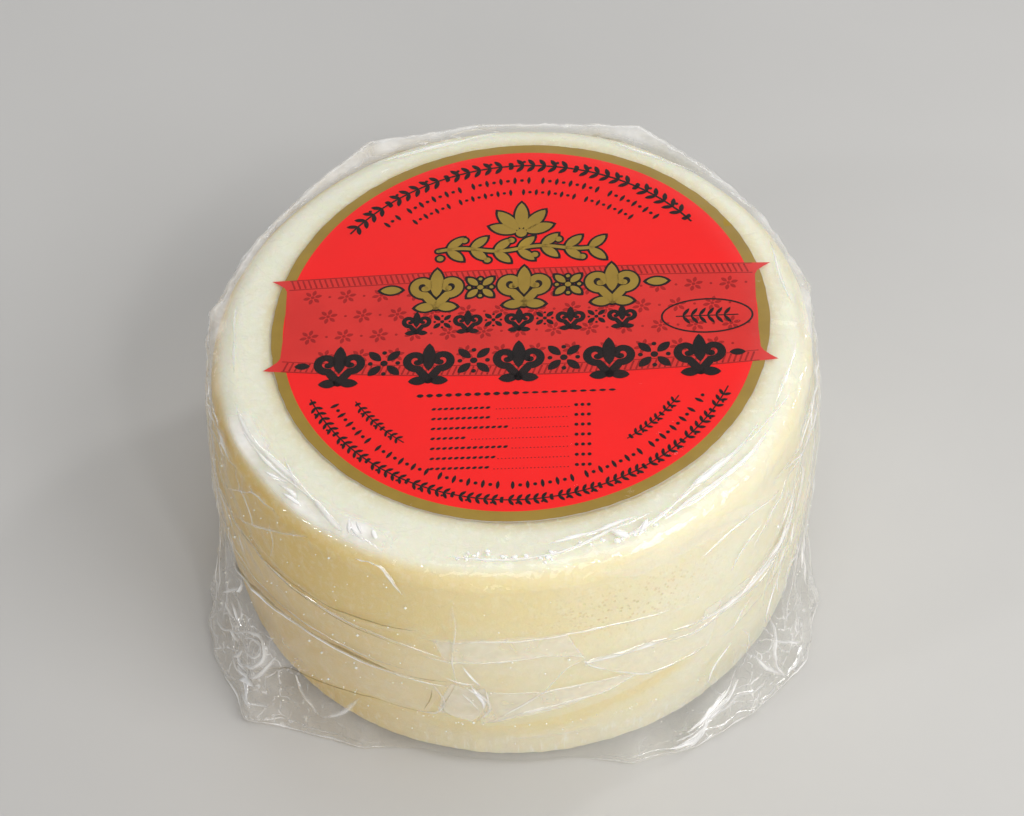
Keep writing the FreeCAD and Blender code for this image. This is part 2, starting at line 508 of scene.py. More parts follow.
def paste_fields(p, azimuth, z, on_side, near_foot, cloth):
    """Where the paste is yellow, chalky, pitted or combed, and where light and shade are painted on it:
    more yellow and amber down the shaded left, less yellow on the lit right, an amber ring round the label.
    z is the height while still even.
    """
    below = top_height(azimuth, RADIUS - 6) - z + (value_noise(p, 14, 16) - 0.5)
    left, right = smooth(0.0, 0.9, -np.cos(azimuth)), smooth(-0.1, 0.7, np.cos(azimuth))
    yellow = smooth(0.5, 2.8, below) * (0.78 + 0.24 * (1 - smooth(8, 22, below)))
    # Painted shade and light: more yellow on the shaded left, less on the lit right, least at the right's
    # foot.
    yellow = yellow + 0.2 * left * smooth(1, 5, below)
    yellow = yellow * (1 - 0.6 * right) * (1 - 0.5 * right * near_foot)
    degrees = np.degrees(azimuth) % 360
    seam = 17 + 0.36 * np.clip(degrees - 268, 0, 40) - z
    strip = smooth(250, 262, degrees) * (1 - smooth(296, 310, degrees))
    strip = strip * smooth(-0.3, 0.5, seam) * (1 - smooth(1, 7, seam))
    # Painted shadow: a warmer ring on the paste round the label's edge.
    painted_warm_shade = (1 - smooth(0.2, 3.4, radius_from_label(p) - LABEL_RADIUS)) * 0.55 * (1 - on_side)
    painted_warm_shade = painted_warm_shade * (0.55 + 0.45 * value_noise(p, 12, 15))
    pits = sum(strength * patch(azimuth, z, middle, reach) for strength, middle, reach in PITTED_PATCHES)
    return {
        "yellow": yellow + 0.55 * strip,
        # Painted shade: the paste's own pale foot band is held back on the left.
        "pale": near_foot * (0.5 + 0.3 * cloth) * (1 - 0.9 * left) * (1 - 0.7 * right),
        # Painted shade: amber down the left side, deepest at the foot, added to the ring round the label.
        "painted_warm_shade": painted_warm_shade + left * smooth(0.6, 4, below) * (0.86 + 0.16 * near_foot),
        "pit": on_side * (0.05 + pits),
        # Painted shade: fewer foot streaks on the left.
        "foot": near_foot * (1 - 0.75 * left),
    }


def cheese_body():
    """The paste, uneven as pressed curd is, standing for the CAD wheel."""
    p, azimuth = cheese_grid()
    normals, z = grid_normals(p), p[..., 2]
    azimuth = azimuth * np.ones_like(z)
    on_side = smooth(0.25, 0.8, 1 - normals[..., 2])
    near_foot = on_side * (1 - smooth(9, 16, z))
    lumps = value_noise(p, 24, 11) * 0.7 + value_noise(p, 9, 12) * 0.25 + value_noise(p, 3, 13) * 0.08
    cloth = value_noise(np.stack([azimuth * RADIUS, z * 0.12, z * 0], -1), 1.5, 14)
    p = p - normals * (lumps * 0.75 + near_foot * (cloth * 0.25))[..., None]
    fields = paste_fields(p, azimuth, z, on_side, near_foot, cloth)
    at_poles = {"yellow": (0, 0.5), "pale": (0, 0.4)}
    fields = {key: np.append(field.ravel(), at_poles.get(key, (0, 0))) for key, field in fields.items()}
    rows, columns = p.shape[:2]
    count = rows * columns
    points = np.concatenate([p.reshape(-1, 3), [[0, 0, TOP_AT_AXIS], [0, 0, BASE]]])
    faces = [
        grid_faces(rows, columns),
        cap_faces(0, columns, count, True),
        cap_faces(count - columns, columns, count + 1, False),
    ]
    body = add_mesh("cheese_body", points, faces, cheese_paste(), fields)
    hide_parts("cheese_wheel")


# ---------------------------------------------------------------- the label

def radius_from_label(p):
    """Distance in the label's plane from its centre."""
    return np.hypot(p[..., 0] - LABEL_CENTRE[0], p[..., 1] - LABEL_CENTRE[1])


def on_label(uv, height):
    """Points of the label's plane, height above the cheese's top face."""
    uv = np.asarray(uv, dtype=float)
    c, s = math.cos(LABEL_TURN), math.sin(LABEL_TURN)
    x = uv[:, 0] * c - uv[:, 1] * s + LABEL_CENTRE[0]
    y = uv[:, 0] * s + uv[:, 1] * c + LABEL_CENTRE[1]
    flat = np.stack([x, y, np.zeros_like(x)], axis=-1)
    wave = (value_noise(flat, 22, 31) - 0.5) * 0.12
    return np.stack([x, y, TOP_AT_AXIS + x * SLOPE + height + wave], axis=-1)


class Sheet:
    """Flat shapes drawn in the label's plane and gathered into one mesh."""

    def __init__(self, name, height, material):
        self.name, self.height, self.material = name, height, material
        self.points, self.quads, self.triangles = [], [], []

    def put(self, *blocks):
        """Adds blocks of points and says which number the first of them has."""
        first = sum(len(block) for block in self.points)
        self.points.extend(np.asarray(block, float) for block in blocks)
        return first

    def strip(self, left, right):
        """Quads between two lines that have as many points as each other."""
        first, count = self.put(right, left), len(left)
        a = first + np.arange(count - 1)
        b = a + count
        self.quads.append(np.stack([a, a + 1, b + 1, b], axis=-1))

    def disc(self, middle, radius, count=20):
        """A round spot."""
        a = np.linspace(0, 2 * math.pi, count, endpoint=False)
        first = self.put(np.stack([np.cos(a), np.sin(a)], -1) * radius + middle, [middle])
        rim = first + np.arange(count)
        self.triangles.append(np.stack([rim, np.roll(rim, -1), np.full(count, first + count)], -1))

    def stroke(self, line, width, taper=0.0):
        """A pen line with round ends, thinning to its end by taper."""
        line = np.asarray(line, dtype=float)
        t = np.linspace(0, 1, len(line))[:, None]
        half = crosswise(line) * (width / 2 * (1 - taper * t))
        self.strip(line + half, line - half)
        self.disc(line[0], width / 2, count=12)
        if taper < 0.9:
            self.disc(line[-1], width / 2 * (1 - taper), count=12)

    def leaf(self, start, end, width):
        """A pointed oval from start to end."""
        start, end = np.asarray(start, float), np.asarray(end, float)
        t = np.linspace(0, 1, 11)[:, None]
        way = (end - start) / np.linalg.norm(end - start)
        half = np.array([-way[1], way[0]]) * (width / 2 * np.sin(math.pi * t) ** 0.7)
        line = start + (end - start) * t
        self.strip(line + half, line - half)

    def ring(self, inner, outer, wobble=0.0):
        """A ring whose outer edge may wander a little, as a cut edge does."""
        a = np.radians(np.linspace(0, 360, 300))
        ring = np.stack([np.cos(a), np.sin(a)], -1)
        lumps = value_noise(np.stack([ring[:, 0] * 50, ring[:, 1] * 50, a * 0], -1), 1.6, 41) - 0.5
        self.strip(ring * inner, ring * (outer + wobble * lumps[:, None]))

    def draw(self, shapes):
        """Draws shapes, each a method's name and its values."""
        for kind, *values in shapes:
            getattr(self, kind)(*values)

    def build(self):
        uv = np.concatenate(self.points)
        faces = [np.concatenate(block) for block in (self.quads, self.triangles) if block]
        return add_mesh(self.name, on_label(uv, self.height), faces, self.material)


def widened(shape, by):
    """The same shape with a margin, for the outline under it."""
    kind, *values = shape
    if kind == "stroke":
        line, width, taper = values
        return kind, line, width + 2 * by, taper * 0.8
    if kind == "leaf":
        start, end, width = values
        reach = (end - start) / np.linalg.norm(end - start) * by * 1.6
        return kind, start - reach, end + reach, width + 2 * by
    middle, radius = values
    return kind, middle, radius + by


def flower_curl(middle, size, width):
    """Two curls that part from one foot round a bud."""
    middle, foot = np.asarray(middle, float), np.array([0.0, -0.92 * size])
    t = np.linspace(0, 1, 30)
    angle = math.radians(-100) + 2 * math.pi * 0.98 * t
    radius = 0.46 * size * (1 - 0.72 * t)
    spiral = np.stack([radius * np.cos(angle), radius * np.sin(angle)], -1) + [0.5 * size, 0.12 * size]
    t = np.linspace(0, 1, 8)[:, None]
    half = np.concatenate([(foot * (1 - t) + spiral[0] * t)[:-1], spiral])
    shapes = []
    for side in (1, -1):
        shapes.append(("stroke", half * [side, 1] + middle, width, 0.25))
        end = np.array([side * 0.8 * size, -0.98 * size])
        shapes.append(("leaf", middle + foot, middle + end, width * 1.2))
    shapes.append(("leaf", middle + [0, -0.45 * size], middle + [0, size], width * 1.5))
    return shapes


def rosette(middle, size):
    """Four pointed leaves and four beads round a middle bead."""
    middle, shapes = np.asarray(middle, float), []
    for k in range(4):
        way, other = at_angle(90 * k + 45)[0], at_angle(90 * k + 90)[0]
        shapes.append(("leaf", middle + way * size * 0.2, middle + way * size, size * 0.42))
        shapes.append(("disc", middle + other * size * 0.62, size * 0.11))
    shapes.append(("disc", middle, size * 0.17))
    return shapes


def crest():
    """A palmette of five leaves."""
    foot = np.array([0.3, 25.6])
    shapes = []
    for angle, length in ((90, 9.2), (52, 8.6), (128, 8.6), (18, 7.4), (162, 7.4)):
        way = at_angle(angle)[0]
        shapes.append(("leaf", foot + way, foot + way * length, 2.9))
    shapes.append(("disc", foot, 1.2))
    return shapes


def garland():
    """A wavy stem with pairs of leaves and berries."""
    def on_stem(x):
        return np.array([x, 20.9 + 0.6 * math.sin(x * 0.35)])

    shapes = [("stroke", np.array([on_stem(x) for x in np.linspace(-18, 16, 34)]), 0.9, 0.0)]
    for k, x in enumerate(np.arange(-16, 15.5, 5.2)):
        root = on_stem(x)
        for sign in (1, -1):
            shapes.append(("leaf", root, root + np.array([3.6, 3.5 * sign]), 2.1))
        shapes.append(("disc", root + np.array([-1.5, 2.6 if k % 2 else -2.6]), 0.75))
    return shapes


def great_row():
    """The large gold row: three paired curls with rosettes between."""
    shapes = []
    for u in (-18.0, 1.0, 20.0):
        shapes += flower_curl((u, 9.9), 5.6, 2.0)
    for u in (-8.5, 10.5):
        shapes += rosette((u, 9.8), 3.9)
    for side, u in ((-1, -25.6), (1, 27.4)):
        shapes.append(("leaf", np.array([u, 9.8]), np.array([u + 4.6 * side, 9.8]), 2.2))
    return shapes


def dark_rows(sheet):
    """Two rows of paired curls and rosettes in the dark ink."""
    for k in range(5):
        sheet.draw(flower_curl((-22 + 11 * k, 0.3), 3.1, 1.15))
        sheet.draw(flower_curl((-38 + 19 * k, -11.0), 5.3, 2.0))
    for k in range(4):
        sheet.draw(rosette((-16.5 + 11 * k, 0.3), 2.6))
        sheet.draw(rosette((-28.5 + 19 * k, -10.9), 4.7))
    for side in (-1, 1):
        sheet.leaf((side * 44.2, -11.0), (side * 47.6, -11.0), 1.8)


def laurel(sheet, radius, low, high, tall):
    """A stem along an arc with leaves in pairs, swept back, and a bead at every third root."""
    angles = np.radians(np.linspace(low, high, 60))
    sheet.stroke(np.stack([np.cos(angles), np.sin(angles)], -1) * radius, tall * 0.11)
    step = math.degrees(tall * 0.62 / radius)
    for k in range(int((high - low) / step)):
        out, on = at_angle(low + step * (k + 0.4))
        root = out * radius
        reach = 1.0 if k % 6 else 0.55
        for side in (1, -1):
            tip = root + out * tall * 0.5 * side * reach + on * tall * 0.42 * reach
            sheet.leaf(root, tip, tall * 0.27)
        if k % 3 == 2:
            sheet.disc(root + out * tall * 0.3, tall * 0.1, count=8)


def bead_chain(sheet, radius, low, high, tall):
    """Lozenges and beads by turns along an arc, with a gap after every ninth."""
    step = math.degrees(tall * 0.72 / radius)
    for k in range(int((high - low) / step)):
        out, _ = at_angle(low + step * (k + 0.5))
        middle = out * radius
        if k % 10 == 9:
            continue
        if k % 2:
            sheet.disc(middle, tall * 0.2, count=8)
        else:
            sheet.leaf(middle - out * tall * 0.5, middle + out * tall * 0.5, tall * 0.36)


def leader_rows(sheet):
    """A short table: a beaded heading and seven rows, each with a dotted leader."""
    for k, x in enumerate(np.arange(-20.5, 21.5, 2.0)):
        sheet.leaf((x - 0.75, -20.2), (x + 0.75, -20.2), 0.95 if k < 11 else 0.6)
    for row in range(7):
        y = -23.9 - 2.6 * row
        used = 7 + 9 * abs(math.sin(row * 1.9 + 0.6))
        for x in np.arange(-17.5, -17.5 + used, 1.25):
            sheet.leaf((x - 0.5, y - 0.2), (x + 0.5, y + 0.2), 0.62)
        for x in np.arange(-16.6 + used, 10.5, 0.75):
            sheet.disc((x, y - 0.45), 0.13, count=6)
        for x in np.arange(12.0, 15.6, 1.3):
            sheet.disc((x, y), 0.42, count=8)


def oval_mark(sheet):
    """An oval outline round a small sprig."""
    a = np.linspace(0, 2 * math.pi, 61)
    middle = np.array([40.0, -0.6])
    sheet.stroke(np.stack([np.cos(a) * 9.6, np.sin(a) * 4.7], -1) + middle, 0.42)
    sheet.stroke([middle - [6.5, 0], middle + [6.5, 0]], 0.3)
    for x in np.arange(-5.2, 5.3, 1.75):
        for side in (-1, 1):
            sheet.leaf(middle + [x, 0], middle + [x + 1.5, 2.2 * side], 0.8)


RIBBON_END = 54.3
RIBBON_TOP = [(-RIBBON_END, 13.7), (-26, 14.6), (0, 15.0), (27, 14.8), (RIBBON_END, 14.1)]
RIBBON_LOW = [(-RIBBON_END, -12.0), (-26, -14.3), (0, -15.4), (27, -15.2), (RIBBON_END, -13.2)]


def ribbon_edge(x, corners):
    """Height of the ribbon's edge at x, on a soft curve near its corners."""
    return np.polyval(np.polyfit(*zip(*corners), 2), x)


def ribbon_sheets():
    """The darker band across the label, with a woven border and rows of small flowers."""
    field = printed("ink_ribbon", (0.73, 0.034, 0.028), (0.62, 0.027, 0.022), 0.5)
    ink = printed("ink_ribbon_pattern", (0.40, 0.014, 0.012), (0.32, 0.010, 0.010), 0.5)
    band = Sheet("label_ribbon", PAPER + 0.02, field)
    x = np.linspace(-RIBBON_END, RIBBON_END, 150)
    shares = [0, 0.045, 0.09, 0.13, 0.5, 0.88, 0.92, 0.96, 1.0]
    reaches = [RIBBON_END, 52.7, 51.4, 50.8, 50.5, 50.8, 51.3, 52.6, RIBBON_END]
    foot, rise = ribbon_edge(x, RIBBON_LOW), ribbon_edge(x, RIBBON_TOP) - ribbon_edge(x, RIBBON_LOW)
    edges = [np.stack([np.clip(x, -end, end), foot + rise * k], -1) for k, end in zip(shares, reaches)]
    for low, high in zip(edges, edges[1:]):
        band.strip(high, low)
    pattern = Sheet("label_ribbon_pattern", PAPER + 0.035, ink)
    for edge, inward in ((RIBBON_TOP, -1), (RIBBON_LOW, 1)):
        for at in np.arange(-49.8, 49.8, 1.2):
            y = ribbon_edge(at, edge) + inward * 0.5
            pattern.stroke([(at, y), (at + 0.7, y + inward * 2.0)], 0.4)
        line = np.linspace(-50.2, 50.2, 80)
        for inset in (0.15, 2.9):
            pattern.stroke(np.stack([line, ribbon_edge(line, edge) + inward * inset], -1), 0.26)
    for row, y0 in enumerate((8.6, 2.9, -2.9, -8.6)):
        for x0 in np.arange(-45, 46, 7.5):
            middle = np.array([x0 + (3.75 if row % 2 else 0), y0])
            if abs(middle[0]) > 47.0:
                continue
            for petal in range(6):
                way = at_angle(60 * petal + 15)[0]
                pattern.leaf(middle + way * 0.5, middle + way * 2.1, 0.85)
            pattern.disc(middle, 0.42, count=8)
            pattern.disc(middle + [3.75, 0], 0.32, count=8)
    return band, pattern


def label_pieces():
    """The paper disc and everything printed on it, standing for the CAD label."""
    red = printed("ink_red", (0.96, 0.014, 0.013), (0.88, 0.015, 0.013), 0.5, mottle=0.35)
    gold = printed("ink_gold", (0.40, 0.26, 0.042), (0.31, 0.195, 0.03), 0.42, 0.2)
    black = printed("ink_black", (0.012, 0.009, 0.009), (0.03, 0.012, 0.01), 0.42)
    cut = printed("paper_cut", (0.75, 0.70, 0.6), (0.6, 0.5, 0.4), 0.7)
    paper = Sheet("label_sheet", PAPER, red)
    rings = [0.1, 10, 20, 30, 40, 47, LABEL_RADIUS - 2.3]
    for inner, outer in zip(rings, rings[1:]):
        paper.ring(inner, outer)
    edge = Sheet("label_gold_edge", PAPER + 0.01, gold)
    edge.ring(LABEL_RADIUS - 2.45, LABEL_RADIUS, 0.22)
    side = Sheet("label_cut_edge", PAPER * 0.2, cut)
    side.ring(LABEL_RADIUS - 0.1, LABEL_RADIUS + 0.12, 0.22)
    band, pattern = ribbon_sheets()
    marks = Sheet("label_black_print", PAPER + 0.05, black)
    shine = Sheet("label_gold_print", PAPER + 0.065, gold)
    for shapes in (crest(), garland(), great_row()):
        marks.draw(widened(shape, 0.5) for shape in shapes)
        shine.draw(shapes)
    dark_rows(marks)
    for row, radius, low, high, tall in (
        (laurel, 46.6, 36, 144, 4.0),
        (bead_chain, 41.9, 43, 137, 2.2),
        (bead_chain, 38.2, 49, 131, 2.0),
        (laurel, 47.9, 205, 335, 2.7),
        (bead_chain, 44.2, 209, 331, 2.1),
        (laurel, 40.0, 212, 234, 2.3),
        (laurel, 40.0, 304, 326, 2.3),
    ):
        row(marks, radius, low, high, tall)
    leader_rows(marks)
    oval_mark(marks)
    made = [sheet.build() for sheet in (paper, edge, side, band, pattern, marks, shine)]
    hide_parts("label")


# ---------------------------------------------------------------- the film

FILM_COLUMNS = 1120
SIDE_ROWS = 140
SEAM_HEIGHT = 19.0
FILM_FOOT = 0.35
FLOOR_ROUND = 2.5
UNDER_HOLE = 50.0  # radius left open in the under sheet, below the middle of the wheel
DEGREE = math.pi / 180 * RADIUS  # millimetres along the side in one degree


def all_round(lines):
    """These marks, and the same ones turned half round for the side that faces away."""
    turned = [(*rest, [(a + 187, h * 0.96 + 1.5) for a, h in corners]) for *rest, corners in lines]
    return lines + turned


# Marks on the side follow lines whose corners are (azimuth, height). Some lines carry two marks.
SPLIT_LINE = [(278, 51.3), (281, 43.2), (282, 40.1), (286, 36.2), (293, 30.3), (306, 29.3)]
UPPER_TUCK = [(252, 42.2), (258, 42), (266, 43.6), (274, 45.3), (281, 43.5)]
LAP_EDGE = [(263, 19.5), (270, 25), (278, 27.7), (285, 28.9), (290, 31)]
LAP_MIDDLE = [(265, 32.3), (274, 32.8), (282, 33.3), (288, 32.8)]
LAP_CROSS = [(263, 19.5), (274, 32.8), (278, 40.4), (281, 41.7)]

# Sharp folds in the sheet: (height, half width, corners).
CREASES = all_round([
    (0.5, 0.7, [(203, 52), (207, 55.3), (215, 63.7), (222, 66)]),
    (0.45, 0.6, [(205, 46), (211, 50.1), (223, 60.1), (230, 64.6)]),
    (0.5, 0.7, [(190, 49), (202, 46.5), (219, 45.3), (235, 45), (250, 44.7), (258, 42.4)]),
    (0.9, 1.2, [(186, 36), (200, 33.5), (219, 33.4), (236, 34.1), (251, 34.6), (258, 33.2)]),
    (0.45, 0.6, [(212, 48.5), (225, 47.5), (240, 46.4), (247, 48.5), (257, 52)]),
    (0.5, 0.6, [(258.4, 61.5), (259, 53), (258.5, 48.6), (258.3, 42), (259, 34)]),
    (0.5, 0.6, [(250, 48.2), (256, 48.4), (263, 50.2), (278, 51.3), (286, 51.5), (297, 49.5), (306, 46)]),
    (0.4, 0.6, UPPER_TUCK),
    (0.9, 1.0, [(280, 41.7), (286, 41.6), (291, 41.5), (299, 40.6)]),
    (0.7, 0.9, [(296, 42.6), (308, 39.7), (315, 39.7), (321, 40.3), (328, 43.7), (332, 52)]),
    (0.5, 0.7, [(295, 38), (303, 36.9), (310, 38.9), (319, 36.8), (327, 41.3)]),
    (0.5, 0.6, SPLIT_LINE),
    (0.4, 0.6, LAP_MIDDLE),
    (0.5, 0.7, LAP_EDGE),
    (0.5, 0.6, LAP_CROSS),
    (0.4, 0.6, [(267, 14.1), (274, 14.6), (280, 15), (285, 16)]),
    (0.6, 0.8, [(298, 68), (305, 67.5), (313, 64.3), (321, 62), (331, 52.6)]),
    (0.6, 0.8, [(346, 60), (337, 44), (330, 36), (319, 31), (306, 28)]),
    (0.5, 0.7, [(352, 52), (343, 38), (334, 28), (326, 24)]),
    (0.4, 0.6, [(288, 12), (293, 16), (296, 20)]),
])

# Where two layers lie together and look milky: (strength, softness, outline).
LAPS = all_round([
    (0.26, 0.5, [(188, 48), (219, 45.3), (235, 45), (250, 44.7), (258, 42.4), (258, 33.4), (236, 34),
        (210, 33.7), (188, 35)]),
    (0.32, 0.3, [(196, 32), (212, 30.9), (220, 32), (228, 33.4), (238, 33.5), (247, 34.2), (253, 33),
        (257, 33), (253, 21.3), (249, 20.4), (243, 20.1), (235, 18.6), (226, 18.7), (217, 13.5),
        (206, 14)]),
    (0.7, 0.3, [(258, 34.2), (261, 32.1), (263.5, 33.2), (264, 28.4), (262.8, 22.6), (261, 19.9),
        (255, 22.2), (256, 28)]),
    (0.6, 0.4, [(255, 48.4), (263, 50.2), (270, 51.4), (278, 51.3), (281, 43.4), (274, 45.3), (265.7, 43.6),
        (257, 42)]),
    (0.35, 0.5, [(258, 42), (265.7, 43.6), (274, 45.3), (281, 43), (278, 40), (274, 32.8), (264, 32),
        (258, 33)]),
    (0.6, 0.4, [(264, 32), (274, 32.8), (282, 33.3), (288, 32.8), (291, 31), (286, 29.4), (278, 25.6),
        (270, 23), (263, 19.5)]),
    (0.38, 0.6, [(281, 41.5), (296, 41), (303, 39), (308, 38), (306, 29.3), (297, 29.6), (293, 30.3),
        (286, 36.2)]),
    (0.35, 1.6, [(286, 66.5), (298, 69), (305, 68.5), (313, 65.5), (320, 62.5), (313, 63.4), (303, 65),
        (291, 64)]),
    (0.5, 0.7, [(304, 38.9), (311, 39.4), (319, 40.2), (327, 40.6), (331, 50), (326, 43), (314, 42),
        (305, 42.5)]),
])

# Painted shadow lines along the edges of the welded strap, where the film turns under itself: (half width,
# corners).
STRAP_SHADOW_LINES = all_round([
    (0.42, [(196, 30.4), (203, 27.6), (210, 28.6), (217, 31.6), (225, 33.0), (234, 34.1), (244, 34.6),
        (251, 34.2), (257, 34.4)]),
    (0.16, [(222, 15.8), (226, 18.0), (235, 18.0), (243, 19.5), (249, 19.9), (253, 20.2)]),
    (0.12, [(254.2, 31), (253.8, 26), (252.4, 21.4)]),
    (0.12, [(258.4, 33.4), (257.0, 28), (255.6, 22.6), (258, 20.6)]),
    (0.2, [(214, 45.9), (219, 45.4), (226, 46.0), (235, 47.0), (244, 48.4), (252, 50.4)]),
    (0.2, [(190, 47.4), (202, 45.2), (219, 44.2), (235, 43.9), (250, 43.6)]),
    (0.2, [(318, 38.4), (326, 40.6), (332, 46), (336, 54)]),
    (0.2, [(345, 56), (338, 43), (331, 35.2), (322, 31)]),
])

# Folds that stand up, whitened partly by the film's own milkiness where it doubles and partly as painted
# highlights: (half width, height, whiteness, corners).
BRIGHT_FOLDS = all_round([
    (0.75, 0.45, 0.85, [(281, 41.8), (286, 41.7), (291, 41.6), (296.5, 41)]),
    (0.55, 0.4, 0.6, [(298, 42.2), (308, 39.9), (315, 39.9), (321, 40.5), (328, 43.9), (331, 50)]),
    (0.4, 0.3, 0.6, [(296, 39.4), (303, 37), (310, 38.9), (319, 36.8), (327, 41)]),
    (0.5, 0.3, 0.5, [(333, 60), (336, 52), (333, 46), (328, 42)]),
    (0.55, 0.35, 1.0, [(241.4, 67.4), (243.6, 67.2), (245.6, 65.4), (247.4, 63), (249.4, 60)]),
    (0.3, 0.3, 0.8, [(240.4, 67.4), (242.4, 68), (243, 67)]),
    (0.35, 0.3, 0.5, [(207, 55.3), (215, 63.2), (222, 65.6)]),
    (0.3, 0.3, 0.4, [(211, 50.1), (223, 60.1), (230, 64.4)]),
    (0.3, 0.35, 0.9, [(197, 28.2), (205, 27), (212, 29.2), (220, 31.2), (228, 32.6), (238, 33), (247, 33.5),
        (253, 32.8), (257, 32.8)]),
    (0.16, 0.2, 0.5, [(196, 35.4), (210, 34.4), (219, 34.6), (236, 35.8), (251, 36)]),
    (0.25, 0.25, 0.35, [(196, 47.4), (219, 45.4), (235, 45.2), (250, 44.8), (258, 42.5)]),
    (0.22, 0.25, 0.5, [(258.4, 60), (259, 53), (258.5, 48.6), (258.3, 42), (259, 34)]),
    (0.22, 0.25, 0.5, [(252, 48.2), (256, 48.4), (263, 50.2), (278, 51.3), (286, 51.5), (297, 49.5)]),
    (0.25, 0.25, 0.45, SPLIT_LINE),
    (0.2, 0.2, 0.45, LAP_MIDDLE),
    (0.25, 0.25, 0.45, LAP_EDGE),
    (0.3, 0.3, 0.8, [(260, 41), (261.4, 37.6), (263, 34.4)]),
    (0.5, 0.4, 1.0, [(261.4, 34.4), (262.4, 31), (263.6, 28), (263.2, 25.4)]),
    (0.35, 0.4, 0.9, [(263.8, 33), (264.4, 30), (264.2, 27.4)]),
    (0.3, 0.3, 0.6, [(257, 36), (260, 34.6), (262, 34.8)]),
    (0.3, 0.3, 0.6, [(311, 49.6), (314, 53.8), (319, 55.4)]),
    (0.35, 0.35, 0.8, [(321.6, 40.4), (325.6, 43.4), (329.6, 48.6), (331, 52)]),
    (0.35, 0.35, 0.7, [(313.6, 39.6), (319, 41.2), (325.6, 42.6), (330, 46.4)]),
    (0.3, 0.3, 0.7, [(325, 46), (330.5, 52.6), (333.5, 58)]),
    (0.3, 0.3, 0.6, [(317, 51), (322, 56), (328, 59.6)]),
    (0.25, 0.3, 0.6, [(304, 60), (311, 61.6), (318, 61.8), (325, 60)]),
    (0.22, 0.25, 0.5, LAP_CROSS),
    (0.2, 0.2, 0.4, UPPER_TUCK),
    (0.55, 0.5, 0.6, [(262, 20.2), (264.6, 25), (264.4, 29.4), (260, 33.6)]),
    (0.4, 0.4, 0.6, [(259.5, 31), (261.6, 27.5), (262.6, 24)]),
    (0.3, 0.35, 0.4, [(254.5, 32.4), (256.6, 27), (255, 21), (251, 20.4)]),
])

# The same in the loose corners.
EAR_FOLDS = all_round([
    (0.8, 0.8, 1.0, [(212.4, 7.4), (214.2, 9.6), (214.6, 12.4)]),
    (0.7, 0.8, 1.0, [(216.2, 5.4), (218.4, 8.4), (221, 10.2)]),
    (0.6, 0.8, 1.0, [(209.6, 11), (211.6, 12.6), (214, 12.4)]),
    (0.6, 0.7, 1.0, [(218.4, 4), (221, 6.6), (224, 7)]),
    (0.5, 0.7, 1.0, [(206, 16), (208.4, 17.6), (211, 17)]),
    (0.5, 0.7, 0.9, [(208.6, 22.6), (210.4, 24.6), (210, 27)]),
    (0.45, 0.5, 0.6, [(203, 13.7), (207, 20.9), (210, 25.4), (210, 27.7), (208, 26.3)]),
    (0.3, 0.5, 0.9, [(207.5, 19.6), (213.5, 17.7)]),
    (0.35, 0.5, 0.5, [(203, 6.7), (208, 9.9), (211.5, 13.4), (213, 20.8), (210.7, 22.1), (207.3, 20.6)]),
    (0.5, 0.7, 0.55, [(210, 11), (215, 18.7), (220, 22.3), (221.4, 20.5), (221.2, 17.3), (219.2, 13.4),
        (215.4, 9), (212, 8), (210, 11)]),
    (0.35, 0.5, 0.5, [(213.6, 14.1), (216.4, 18.6), (220.7, 20.6), (220.6, 18.2), (216.1, 13.3),
        (213.6, 14.1)]),
    (1.5, 0.8, 1.0, [(211.4, 8.6), (215, 7.2), (219.6, 10.2)]),
    (1.2, 0.8, 1.0, [(216.4, 9), (218.6, 6.4), (222, 5.2)]),
    (0.5, 0.6, 0.5, [(223, 20), (221.4, 14.3), (220, 11.2), (217.3, 10)]),
    (0.45, 0.5, 0.4, [(227, 16.9), (229.8, 11), (232.1, 7)]),
    (0.5, 0.4, 0.3, [(232.1, 6.8), (236.9, 11.5), (239.6, 17.8)]),
    (1.7, 0.6, 1.0, [(340, 32), (338.6, 26), (337, 19.7), (334.5, 13)]),
    (2.8, 0.8, 1.0, [(311, 14), (306.5, 9.8), (302.5, 6.4), (297, 3.0)]),
    (1.0, 0.7, 0.9, [(306, 5.4), (301, 3.6), (296, 2.2)]),
    (0.5, 0.6, 0.6, [(321.3, 22.8), (321.7, 17.4), (320.3, 13.9), (319.9, 8.4), (322.1, 2)]),
    (0.4, 0.5, 0.6, [(316.8, 19.4), (320.1, 16.7), (328.6, 4.6)]),
    (0.5, 0.6, 0.5, [(315.2, 17.8), (317.4, 10.4), (322.1, 2)]),
    (0.4, 0.5, 0.5, [(328.8, 5), (322.1, 2)]),
    (0.6, 0.6, 0.5, [(297.8, 4.6), (303.5, 6.8), (308.8, 7.2), (313, 7.5), (318.8, 6.2)]),
])


def unrolled(azimuth, height, corners):
    """Places and a line's corners on the side as if it were flat, in millimetres from its start."""
    start = corners[0][0]
    x = np.angle(np.exp(1j * (azimuth - math.radians(start)))) * RADIUS
    return x, height, np.array([((a - start) * DEGREE, h) for a, h in corners])


def line_distance(azimuth, height, corners):
    """Distance to a line on the side, and the share of its length that has run there."""
    best = np.full(np.shape(azimuth), 1e9)
    along = np.zeros(np.shape(azimuth))
    x, z, points = unrolled(azimuth, height, corners)
    lengths = np.linalg.norm(np.diff(points, axis=0), axis=1)
    run = 0.0
    for (x0, z0), (x1, z1), length in zip(points, points[1:], lengths):
        t = np.clip(((x - x0) * (x1 - x0) + (z - z0) * (z1 - z0)) / length**2, 0, 1)
        d = np.hypot(x - x0 - t * (x1 - x0), z - z0 - t * (z1 - z0))
        along = np.where(d < best, (run + t * length) / lengths.sum(), along)
        best = np.minimum(d, best)
        run += length
    return best, along


